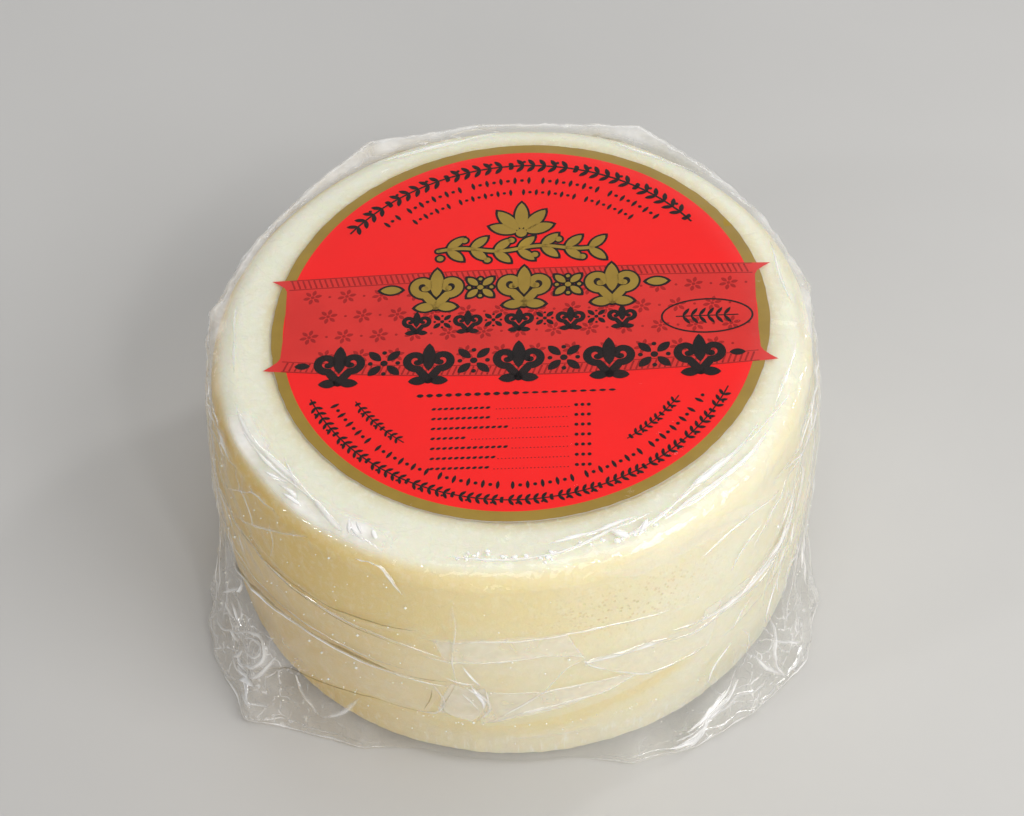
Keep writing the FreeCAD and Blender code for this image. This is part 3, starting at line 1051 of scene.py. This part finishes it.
def inside_lap(azimuth, height, corners, soft):
    """1 inside an outline on the side, falling to 0 over soft millimetres past it."""
    x, z, points = unrolled(azimuth, height, corners)
    inside = np.zeros(np.shape(x), dtype=bool)
    for (x0, z0), (x1, z1) in zip(points, np.roll(points, -1, axis=0)):
        crosses = (z0 > z) != (z1 > z)
        inside ^= crosses & (x < (x1 - x0) * (z - z0) / (z1 - z0 + 1e-9) + x0)
    distance, _ = line_distance(azimuth, height, corners + corners[:1])
    return np.where(inside, 1.0, 1 - smooth(0, soft, distance))


def rim_growth(azimuth):
    """How far the film's rim stands off, tight as a string between its corners."""
    rim = RADIUS - NECK_INSET
    return through_corners(azimuth, RIM_CORNERS, rim) - rim


def ear_reach(azimuth):
    """The ears' radius on the floor, 0 between the ears."""
    return np.max([through_corners(azimuth, ear, RADIUS) for ear in EARS], axis=0)


def film_radius(azimuth, z):
    """The film's radius on the side, before its wrinkles, and how loose it is there."""
    rim = side_radius(TOP_AT_AXIS)
    down = np.clip((top_height(azimuth, rim) - z) / RIM_DEPTH, 0, 1)
    slack = np.clip(rim_growth(azimuth) - FILM_GAP, 0, None) * (1 - down) ** 1.6
    near = side_radius(z) + FILM_GAP + slack
    low = np.clip(FLOOR_ROUND - z, 0, FLOOR_ROUND)
    near = near - (FLOOR_ROUND - np.sqrt(FLOOR_ROUND**2 - low**2))
    reach = ear_reach(azimuth)
    ear = reach + (EAR_ROOT - reach) * np.clip(z / EAR_RISE, 0, 1)
    ear = np.where(reach > 0, ear, 0)
    gap = near - ear
    blend = 1.4
    joined = np.maximum(near, ear) + np.clip(blend - np.abs(gap), 0, None) ** 2 / (4 * blend)
    return joined, np.clip(joined - side_radius(z), 0, 12)


def pleats(azimuth, z):
    """Fine folds that run slantwise down the left and right, where the bag was gathered."""
    total = 0.0
    for centre, seed in ((180, 51), (0, 52)):
        turn = np.angle(np.exp(1j * (azimuth - math.radians(centre))))
        mask = np.exp(-((np.abs(turn) / 0.62) ** 2.4)) * smooth(6, 20, z) * (1 - 0.5 * smooth(58, 68, z))
        across = 0.62 * RADIUS * np.abs(turn) + 0.78 * z
        flat = np.stack([across * 0.9, RADIUS * turn * 0.25, z * 0.12], axis=-1)
        wander = value_noise(flat * [0.4, 1, 1], 9, seed) * 9
        wave = np.abs(((across + wander) / 5.4) % 1.0 - 0.5) * 2
        strength = value_noise(flat, 7, seed + 3)
        total = total + mask * (1 - wave) ** 1.5 * smooth(0.3, 0.75, strength)
    return total


def wrinkles(p, azimuth, loose):
    """Outward displacement, haze and web of the side's film."""
    z = p[..., 2]
    azimuth = azimuth * np.ones_like(z)
    lift = (facets(p, 8.5, 61, 6) - 0.5) * (0.35 + 0.26 * np.clip(loose, 0, 9))
    lift = lift + (facets(p * [1, 1, 0.5], 3.6, 62, 4) - 0.5) * (0.16 + 0.1 * np.clip(loose, 0, 8))
    far = np.clip(loose - 1.0, 0, 8)
    lift = lift + (facets(p, 6.5, 66, 3) - 0.5) * 0.3 * far + (facets(p, 2.8, 67, 3) - 0.5) * 0.07 * far
    lift = lift + pleats(azimuth, z) * 0.6
    haze = 0.03 + 0.3 * pleats(azimuth, z)
    under_rim = smooth(40, 60, z) * (1 - smooth(64, 69, z))
    tension = value_noise(np.stack([azimuth * RADIUS + z * 0.3, z * 0.16, z * 0], -1), 2.6, 63)
    lift = lift + under_rim * 0.5 * np.abs(tension - 0.5)
    for height, width, corners in CREASES:
        d, along = line_distance(azimuth, z, corners)
        fade = smooth(0, 0.12, along) * (1 - smooth(0.86, 1, along))
        ridge = np.exp(-d / width) * fade
        lift = lift + height * ridge * 0.8
        haze = np.maximum(haze, 0.3 * ridge)
    for strength, soft, corners in LAPS:
        lap = inside_lap(azimuth, z, corners, soft)
        haze = np.maximum(haze, strength * lap)
    wander = (value_noise(p * [1, 1, 0], 11, 64) - 0.5) * 1.6
    band = 1 - smooth(SEAM_HEIGHT - 0.5, SEAM_HEIGHT + 0.3, z + wander)
    lift = lift + 0.22 * band
    haze = np.maximum(haze, 0.13 * band)
    haze = haze + 0.05 * np.clip(loose, 0, 8) * value_noise(p, 6, 65)
    away = smooth(-0.4, 0.1, np.sin(azimuth)) * smooth(54, 65, z) * smooth(0.3, 1.2, loose)
    haze = haze + 0.9 * away * (0.25 + value_noise(p * [1, 1, 2], 5, 68))
    lobes = [patch(azimuth, z, middle, (15, 14)) for middle in ((211, 14), (318, 12), (38, 14), (145, 12))]
    web = smooth(1.2, 4.5, loose) * (0.3 + 0.8 * np.max(lobes, axis=0))
    web = web + 0.1 * smooth(0.2, 0.7, value_noise(p, 14, 69))
    return lift, haze, web


def film_rows(azimuth):
    """Rows of (radius, height) over the top and down the side, and how loose each side row is."""
    shoulder = shoulder_rows(azimuth, rim_growth(azimuth), FILM_OVER_TOP, RIM_ROUND, 14)
    top = top_rows(azimuth, shoulder[0], FILM_OVER_TOP, 46) + shoulder
    rim, edge = shoulder[-1]
    keep = rim - film_radius(azimuth, edge)[0]
    side, loose = [], []
    for t in np.linspace(0, 1, SIDE_ROWS)[1:]:
        z = edge + (FILM_FOOT - edge) * t
        reach, slack = film_radius(azimuth, z)
        side.append((reach + keep * (1 - smooth(0, 0.06, t)), z))
        loose.append(slack)
    return top, side, loose


def top_haze(p, azimuth, radius, rim):
    """Milky film on the top: behind, along the left shoulder and in the knot beside it."""
    degrees = np.degrees(azimuth) * np.ones_like(radius)
    cloud = value_noise(p * [1, 1, 2], 4.5, 72)
    behind = smooth(-0.4, 0.1, np.sin(azimuth)) * smooth(60.5, 63, radius) * (0.2 + cloud)
    veil = smooth(194, 203, degrees) * (1 - smooth(240, 250, degrees))
    veil = veil * smooth(57, 59.5, radius) * (1 - smooth(62.5, 64.5, radius)) * (0.25 + cloud)
    knot = np.exp(-(((degrees - 239) / 3.2) ** 2) - ((radius - 60.6) / 1.6) ** 2) * (0.2 + cloud)
    return 0.1 * rim + 0.85 * behind + veil + 0.7 * knot


def film_relief(p, azimuth, loose, cut):
    """Outward displacement, haze and web of the whole film. Row cut is where the side begins."""
    lift, haze, web = wrinkles(p, azimuth, loose)
    rows = np.arange(len(p))
    on_side = smooth(cut - 8, cut + 6, rows)[:, None]
    radius = np.hypot(p[..., 0], p[..., 1])
    rim = smooth(48, 60, radius) * (1 - on_side)
    ripple = (facets(p, 7, 71, 5) - 0.5) * (0.10 + 0.55 * rim) + (facets(p, 3, 75, 4) - 0.5) * 0.3 * rim
    lift = lift * on_side + ripple * (1 - on_side)
    crinkled = np.exp(-(((rows - cut) / 8.0) ** 2))[:, None]
    lift = lift + (facets(p, 2.4, 76, 4) - 0.5) * 0.9 * crinkled
    lift = np.where(on_side < 1, lift, np.maximum(lift, -0.16 - 0.5 * np.clip(loose - 0.3, 0, None)))
    calm = 1 - smooth(len(rows) - 5, len(rows) - 1, rows)[:, None] * 0.8
    haze = haze * on_side + (1 - on_side) * top_haze(p, azimuth, radius, rim)
    return lift * calm, haze, web * on_side + (1 - on_side) * 0.1 * rim


def under_sheet(reach, rim, azimuth, look):
    """The film below the wheel, from its rim inwards, crumpled where it reaches past the wheel."""
    shares = np.linspace(0, 1, 12)
    rows = [(reach + (UNDER_HOLE - reach) * t, FILM_FOOT - 0.23 * smooth(0, 0.2, t)) for t in shares]
    below = to_points(rows, azimuth)
    below[0] = rim
    crumple = (facets(below, 6, 73, 5) - 0.5) * 0.35
    crumple = crumple * smooth(0.5, 3, np.arange(len(rows)))[:, None]
    beyond = smooth(RADIUS - 4, RADIUS + 4, np.hypot(below[..., 0], below[..., 1]))
    below[..., 2] = np.maximum(below[..., 2] + crumple * beyond, 0.1)
    cloud = {"haze": 0.12 + 0.2 * value_noise(below, 4, 74), "web": beyond * 0.7}
    add_mesh("film_under", below, [grid_faces(len(rows), FILM_COLUMNS)], look, cloud)


def film_skin():
    """The film as one form, cut into a top, a front, a back and an under sheet. Returns the side's grid."""
    azimuth = np.linspace(0, 2 * math.pi, FILM_COLUMNS, endpoint=False)
    top, side, loose = film_rows(azimuth)
    p, cut = to_points(top + side, azimuth), len(top)
    normals = grid_normals(p)
    loose = np.concatenate([np.zeros((cut, FILM_COLUMNS)), loose])
    lift, haze, web = film_relief(p, azimuth, loose, cut)
    p = p + normals * lift[..., None]
    p[..., 2] = np.maximum(p[..., 2], 0.3)

    look = film_look("film_clear", (0.99, 0.99, 0.988), 0.5, 0.08, 0.4)
    points = np.concatenate([p[:cut].reshape(-1, 3), [[0, 0, TOP_AT_AXIS + FILM_OVER_TOP]]])
    faces = [grid_faces(cut, FILM_COLUMNS), cap_faces(0, FILM_COLUMNS, cut * FILM_COLUMNS, True)]
    cloud = {"haze": np.append(haze[:cut].ravel(), 0), "web": np.append(web[:cut].ravel(), 0)}
    film = add_mesh("film_top", points, faces, look, cloud)
    half = FILM_COLUMNS // 2
    for name, start in (("film_back", 0), ("film_front", half)):
        part = np.s_[cut - 1 :, (np.arange(half + 1) + start) % FILM_COLUMNS]
        faces = [grid_faces(*haze[part].shape, closed=False)]
        add_mesh(name, p[part], faces, look, {"haze": haze[part], "web": web[part]})
    under_sheet(side[-1][0], p[-1], azimuth, look)
    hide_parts("film_bag")
    return p[cut - 1 :]


def on_film(degrees, height, grid, proud):
    """Points on the finished film, proud millimetres out, by looking its grid up."""
    a = np.radians(degrees) % (2 * math.pi)
    column = a / (2 * math.pi) * FILM_COLUMNS
    c0 = np.floor(column).astype(int) % FILM_COLUMNS
    c1, f = (c0 + 1) % FILM_COLUMNS, column - np.floor(column)
    points = []
    for c, d, share, z in zip(c0, c1, f, height):
        line = grid[:, c] * (1 - share) + grid[:, d] * share
        k = np.interp(-z, -line[:, 2], np.arange(len(line)))
        low = int(min(k, len(line) - 2))
        points.append(line[low] + (line[low + 1] - line[low]) * (k - low))
    points = np.array(points)
    out = points * [1, 1, 0]
    out /= np.linalg.norm(out, axis=1, keepdims=True)
    return points + out * np.asarray(proud).reshape(-1, 1)


def run_along(corners, scale, step=0.7):
    """Even steps in millimetres along a smoothed line of corners, each (degrees, height or radius)."""
    scaled = np.array(corners, float) * scale
    lengths = np.append(0, np.cumsum(np.linalg.norm(np.diff(scaled, axis=0), axis=1)))
    count = max(6, int(lengths[-1] / step))
    at = np.linspace(0, lengths[-1], count)
    line = np.stack([np.interp(at, lengths, scaled[:, k]) for k in range(2)], -1)
    for _ in range(6):
        line[1:-1] = (line[:-2] + 2 * line[1:-1] + line[2:]) / 4
    return line


def tents(name, lines, place, scale, material, seed):
    """Raised folds of film: two slopes that meet in a crest, along lines of (degrees, other)."""
    rng = np.random.default_rng(seed)
    points, quads, cloud = [], [], []
    first = 0
    for width, tall, haze, corners in lines:
        line = run_along(corners, scale)
        count = len(line)
        t = np.linspace(0, 1, count)
        fade = np.sin(math.pi * np.clip(t, 0.01, 0.99)) ** 0.5
        run = np.stack([t * count * 0.7, t * 0, t * 0], -1)
        wobble = value_noise(run, 9.0, int(rng.integers(999))) - 0.5
        gleam = value_noise(run, 4.5, int(rng.integers(999)))
        side = crosswise(line)
        middle = line + side * wobble[:, None] * 0.3
        half = width * (0.5 + 1.0 * gleam) * fade
        for offset, rise in ((1.0, 0.03), (0.2, tall), (-0.2, tall), (-1.0, 0.03)):
            at = (middle + side * (offset * half)[:, None]) / scale
            points.append(place(at[:, 0], at[:, 1], rise * (0.3 + 0.7 * fade)))
            # Painted highlight: crests whiter than their slopes, brighter where gleam is high.
            crest = 1.0 if abs(offset) < 0.5 else 0.1
            cloud.append(haze * fade * crest * (0.4 + 1.1 * gleam))
        k = np.arange(count - 1)
        for row in range(3):
            a, b = first + row * count + k, first + (row + 1) * count + k
            quads.append(np.stack([a, b, b + 1, a + 1], -1))
        first += 4 * count
    cloud = np.concatenate(cloud)
    cloud = {"haze": cloud, "web": cloud * 0}
    return add_mesh(name, np.concatenate(points), [np.concatenate(quads)], material, cloud)


# The same on the top, where corners are (azimuth, distance from the axis).
TOP_FOLDS = [
    (0.8, 0.35, 1.0, [(288.4, 57.4), (289.8, 58.8), (291.6, 60.8)]),
    (0.6, 0.35, 1.0, [(293, 61), (294.6, 59.8), (296.4, 58.2)]),
    (0.5, 0.3, 0.9, [(204, 61.2), (211, 60.6), (218, 59.8), (224, 59.2), (228, 59.4)]),
    (0.9, 0.35, 1.0, [(226.6, 59.2), (230, 60.2), (233.6, 61.2), (236, 62)]),
    (0.5, 0.3, 1.0, [(219, 61.8), (222, 60.8), (224.4, 61.4)]),
    (0.4, 0.3, 1.0, [(221, 62.4), (223.6, 61.8), (226, 62)]),
    (0.35, 0.3, 0.9, [(214.6, 62), (217.4, 61), (219.8, 60.2)]),
    (0.3, 0.3, 0.8, [(236, 60), (238.4, 61.4), (240.6, 62)]),
    (0.5, 0.3, 0.9, [(330, 60.6), (322, 60.8), (314, 59.8), (306, 59.4), (299, 60.4)]),
    (0.35, 0.3, 0.9, [(338, 61), (330, 59.2), (324, 58.6)]),
    (0.4, 0.25, 0.7, [(256, 60.4), (263, 60.4), (270, 60.6), (277, 60.2), (284, 58.5), (289, 57.5),
        (298, 57.5)]),
    (0.5, 0.3, 0.9, [(276, 57.5), (281, 56.8), (287, 56.8), (292, 56.5), (295, 57.2)]),
    (0.7, 0.3, 0.6, [(196, 60.6), (206, 60.6), (213, 59.3), (220, 58.5), (229, 59.8), (234, 60.8)]),
    (0.35, 0.25, 0.8, [(300.6, 59.4), (306.3, 60.4), (310.7, 60.4), (318, 60)]),
    (0.7, 0.35, 1.0, [(329, 58.2), (320, 57.9), (315, 57.2), (309.4, 57), (303.4, 58.3), (293.7, 60.2),
        (289, 60.4)]),
    (0.6, 0.35, 1.0, [(235.6, 58.8), (236.6, 60.2), (237.4, 61.8)]),
    (0.45, 0.35, 1.0, [(237, 58.6), (238.6, 59.6), (239.8, 60.9)]),
    (0.45, 0.3, 1.0, [(240.6, 58.9), (242, 59.9), (242.6, 60.8)]),
    (0.4, 0.3, 1.0, [(238, 61.8), (240, 61.2), (242, 61.8), (244, 62.4)]),
    (0.3, 0.25, 0.5, [(214, 57), (219, 58.2), (223, 60.2)]),
    (0.4, 0.2, 0.45, [(120, 60.5), (112, 59), (101, 58.6), (92, 60)]),
    (0.4, 0.2, 0.4, [(70, 60.2), (61, 58.8), (52, 59.4), (45, 60.4)]),
    (0.35, 0.2, 0.4, [(350, 60.3), (340, 59), (333, 59.6)]),
    (0.35, 0.2, 0.4, [(170, 60.4), (180, 59.2), (188, 59.6)]),
    (0.3, 0.2, 0.4, [(20, 60.4), (10, 58.9), (2, 59.8)]),
]


def bundles(lines, seed):
    """Wide folds broken into a few narrow ones that lie side by side."""
    rng = np.random.default_rng(seed)
    out = []
    for width, tall, haze, corners in lines:
        if width < 0.85:
            out.append((width, tall, haze, corners))
            continue
        line = run_along(corners, np.array([DEGREE, 1.0]))
        side = crosswise(line)
        for _ in range(3 + int(width * 2.2)):
            first = int(len(line) * rng.uniform(0, 0.4))
            last = max(first + 4, int(len(line) * rng.uniform(0.6, 1)))
            moved = (line + side * rng.uniform(-0.9, 0.9) * width)[first:last] / np.array([DEGREE, 1.0])
            moved[:, 1] = np.maximum(moved[:, 1], 0.8)
            out.append((rng.uniform(0.18, 0.5), tall * 0.7, haze, moved.tolist()))
    return out


def rim_folds():
    """Folds that run along the slack rim behind and at both ends."""
    rng = np.random.default_rng(90)
    lines = []
    for _ in range(90):
        a, z = rng.uniform(-32, 205), rng.uniform(55, 66)
        half = rng.uniform(3, 11)
        tilt = rng.normal(0, 0.16)
        corners = [
            (a + half * k / DEGREE, z + tilt * half * k + rng.normal(0, 0.25)) for k in (-1, -0.4, 0.3, 1)
        ]
        lines.append((rng.uniform(0.15, 0.5), 0.3, rng.uniform(0.35, 0.95), corners))
    return lines


def hem_lines():
    """The welded edge of each ear, close to the floor."""
    lines = []
    for ear in EARS:
        low, high = ear[0][0] + 9, ear[-1][0] - 9
        for height, width, whiteness in ((0.9, 0.3, 0.6), (2.6, 0.16, 0.3)):
            corners = [(a, height + 0.3 * math.sin(a * 0.35)) for a in np.arange(low, high, 4.0)]
            lines.append((width, 0.25, whiteness, corners))
    return lines


def fine_folds():
    """Short, faint folds, mostly slantwise near the gathered sides."""
    rng = np.random.default_rng(83)
    lines = []
    for _ in range(190):
        a = rng.choice([rng.normal(200, 15), rng.normal(337, 16), rng.normal(25, 17), rng.normal(152, 16)])
        z, length = rng.uniform(5, 60), rng.uniform(4, 14)
        slant = math.radians(rng.normal(58, 16)) * (1 if 90 < a % 360 < 270 else -1)
        if 90 < a % 360 < 270:
            slant = math.pi - slant
        step = np.array([math.cos(slant) / DEGREE, abs(math.sin(slant))]) * length
        bend = rng.normal() * 1.2
        corners = [(a, z), (a + step[0] / 2 + bend, z + step[1] / 2), (a + step[0], min(z + step[1], 65))]
        lines.append((rng.uniform(0.15, 0.4), 0.2, rng.uniform(0.2, 0.8), corners))
    return lines


def shoulder_glints():
    """Short bright dashes along the front of the rim, where the film creases over it."""
    rng = np.random.default_rng(88)
    lines = []
    for _ in range(34):
        a = rng.uniform(255, 300)
        r = 60.0 + 1.0 * math.sin(a * 0.35) + rng.normal(0, 0.7)
        turn, half = rng.normal(0, 0.5), rng.uniform(0.3, 0.8)
        ends = [
            (a + half * side / DEGREE * math.cos(turn), r + half * side * math.sin(turn))
            for side in (-1, 0, 1)
        ]
        lines.append((rng.uniform(0.35, 0.75), 0.25, 1.0, ends))
    return lines


def film_specks(grid):
    """Crumbs and air beads caught under the film, nearly half of them along its seam."""
    rng = np.random.default_rng(86)
    count = 420
    seam = rng.uniform(size=count) < 0.45
    a = np.where(seam, rng.uniform(0, 360, count), rng.normal(215, 45, count))
    z = np.where(seam, SEAM_HEIGHT + rng.normal(0, 0.35, count), rng.uniform(6, 64, count))
    middles = on_film(a, z, grid, np.full(count, -0.04))
    size = rng.uniform(0.10, 0.24, count) * (1 + 0.8 * (rng.uniform(size=count) < 0.1))
    shape = np.array([[1, 0, 0], [0, 1, 0], [-1, 0, 0], [0, -1, 0], [0, 0, 1], [0, 0, -1]], float)
    rim = [(0, 1), (1, 2), (2, 3), (3, 0)]
    faces = np.array([(a, b, 4) for a, b in rim] + [(b, a, 5) for a, b in rim])
    points = middles[:, None] + shape * size[:, None, None]
    faces = faces + (np.arange(count) * 6)[:, None, None]
    return add_mesh("trapped_crumbs", points, [faces.reshape(-1, 3)], crumb_look())


def film_details(grid):
    """Folds that stand up from the film, whitened partly as painted highlights, painted shadow lines along
    the strap's edges, the ears' hems and trapped crumbs.
    """
    # Painted highlight: the folds' milky white stands partly for light caught on them, partly for film
    # doubled up.
    crest = film_look("film_fold", (0.985, 0.985, 0.983), 0.9, 0.16, 0.2, 0.14)
    # Painted shadow: a dark see-through tint for lines along the strap's edges.
    edge = film_look("film_painted_shadow", (0.68, 0.65, 0.56), 0.0, 0.2, 0.1)

    def on_side(degrees, height, rise):
        return on_film(degrees, height.clip(0.6), grid, rise)

    def on_top(degrees, radius, rise):
        a = np.radians(degrees)
        z = top_height(a, radius) + PAPER + 0.16 + rise
        return np.stack([radius * np.cos(a), radius * np.sin(a), z], -1)

    side_scale, top_scale = np.array([DEGREE, 1.0]), np.array([DEGREE * 0.88, 1.0])
    # Painted shadow: the strap's edge lines, thin and flat, in the dark tint.
    dark = [(width, 0.05, 0.0, line) for width, line in STRAP_SHADOW_LINES]
    tents("film_folds", BRIGHT_FOLDS + rim_folds(), on_side, side_scale, crest, 81)
    tents("film_ear_folds", bundles(EAR_FOLDS, 91), on_side, side_scale, crest, 82)
    tents("film_hems", hem_lines(), on_side, side_scale, crest, 85)
    tents("film_fine_folds", fine_folds(), on_side, side_scale, crest, 84)
    tents("film_top_folds", TOP_FOLDS + shoulder_glints(), on_top, top_scale, crest, 87)
    tents("film_painted_shadow_lines", dark, on_side, side_scale, edge, 89)
    film_specks(grid)


# ---------------------------------------------------------------- stage

# Name, place in metres, width and height of the panel, power and colour.
LIGHTS = [
    ("key", (0.48, -0.32, 0.58), 0.42, 0.42, 3.25, (1.0, 0.99, 0.975)),
    ("fill", (-0.04, -0.86, 0.36), 0.85, 0.5, 2.75, (1.0, 0.99, 0.97)),
    ("window", (-0.2, 0.95, 0.36), 1.3, 0.4, 4.0, (0.98, 0.99, 1.0)),
    ("overhead", (0.1, 0.1, 0.9), 0.5, 0.5, 1.15, (1.0, 1.0, 0.99)),
    ("glint_back", (0.55, 0.35, 0.6), 0.07, 0.07, 1.0, (1, 1, 1)),
    ("glint_front", (0.3, -0.6, 0.72), 0.07, 0.07, 0.8, (1, 1, 1)),
    ("glint_left", (-0.62, -0.3, 0.5), 0.07, 0.07, 0.6, (1, 1, 1)),
]
FLOOR_REACH = 3.0


def stage():
    """A plain pale floor and soft lights."""
    floor = bpy.data.meshes.new("floor")
    corners = [(x * FLOOR_REACH, y * FLOOR_REACH, 0) for x, y in ((-1, -1), (1, -1), (1, 1), (-1, 1))]
    floor.from_pydata(corners, [], [(0, 1, 2, 3)])
    floor.materials.append(floor_look())
    floor = bpy.data.objects.new("floor", floor)
    bpy.context.scene.collection.objects.link(floor)
    world = bpy.data.worlds.new("studio")
    world.use_nodes = True
    world.node_tree.nodes["Background"].inputs["Color"].default_value = (0.95, 0.97, 1.0, 1.0)
    world.node_tree.nodes["Background"].inputs["Strength"].default_value = 0.2
    bpy.context.scene.world = world
    for light in LIGHTS:
        add_light(*light)


def add_light(name, place, width, height, power, colour):
    """A soft panel that faces the cheese."""
    light = bpy.data.lights.new(name, "AREA")
    light.shape, light.size, light.size_y = "RECTANGLE", width, height
    light.energy, light.color = power, colour
    lamp = bpy.data.objects.new(name, light)
    bpy.context.scene.collection.objects.link(lamp)
    lamp.location = place
    aim = Vector((0, 0, 0.04)) - Vector(place)
    lamp.rotation_euler = aim.to_track_quat("-Z", "Y").to_euler()


def add_camera():
    """The eye: half a metre off, looking down at just over fifty degrees, barely rolled."""
    pitch, roll = math.radians(50.77), math.radians(-1.45)
    forward = Vector((0, math.cos(pitch), -math.sin(pitch)))
    right, up = Vector((1, 0, 0)), Vector((0, math.sin(pitch), math.cos(pitch)))
    x = right * math.cos(roll) + up * math.sin(roll)
    y = up * math.cos(roll) - right * math.sin(roll)
    eye = bpy.data.cameras.new("camera")
    eye.lens, eye.sensor_width, eye.clip_start = 77.34, 36.0, 0.01
    eye = bpy.data.objects.new("camera", eye)
    bpy.context.scene.collection.objects.link(eye)
    turn = Matrix((x, y, -forward)).transposed().to_4x4()
    eye.matrix_world = Matrix.Translation(Vector((-0.3, -309.9, 422.0)) * MM) @ turn
    bpy.context.scene.camera = eye


cheese_body()
label_pieces()
film_details(film_skin())
stage()
add_camera()
bpy.context.scene.view_settings.view_transform = "Standard"
bpy.context.scene.cycles.transparent_max_bounces = 32
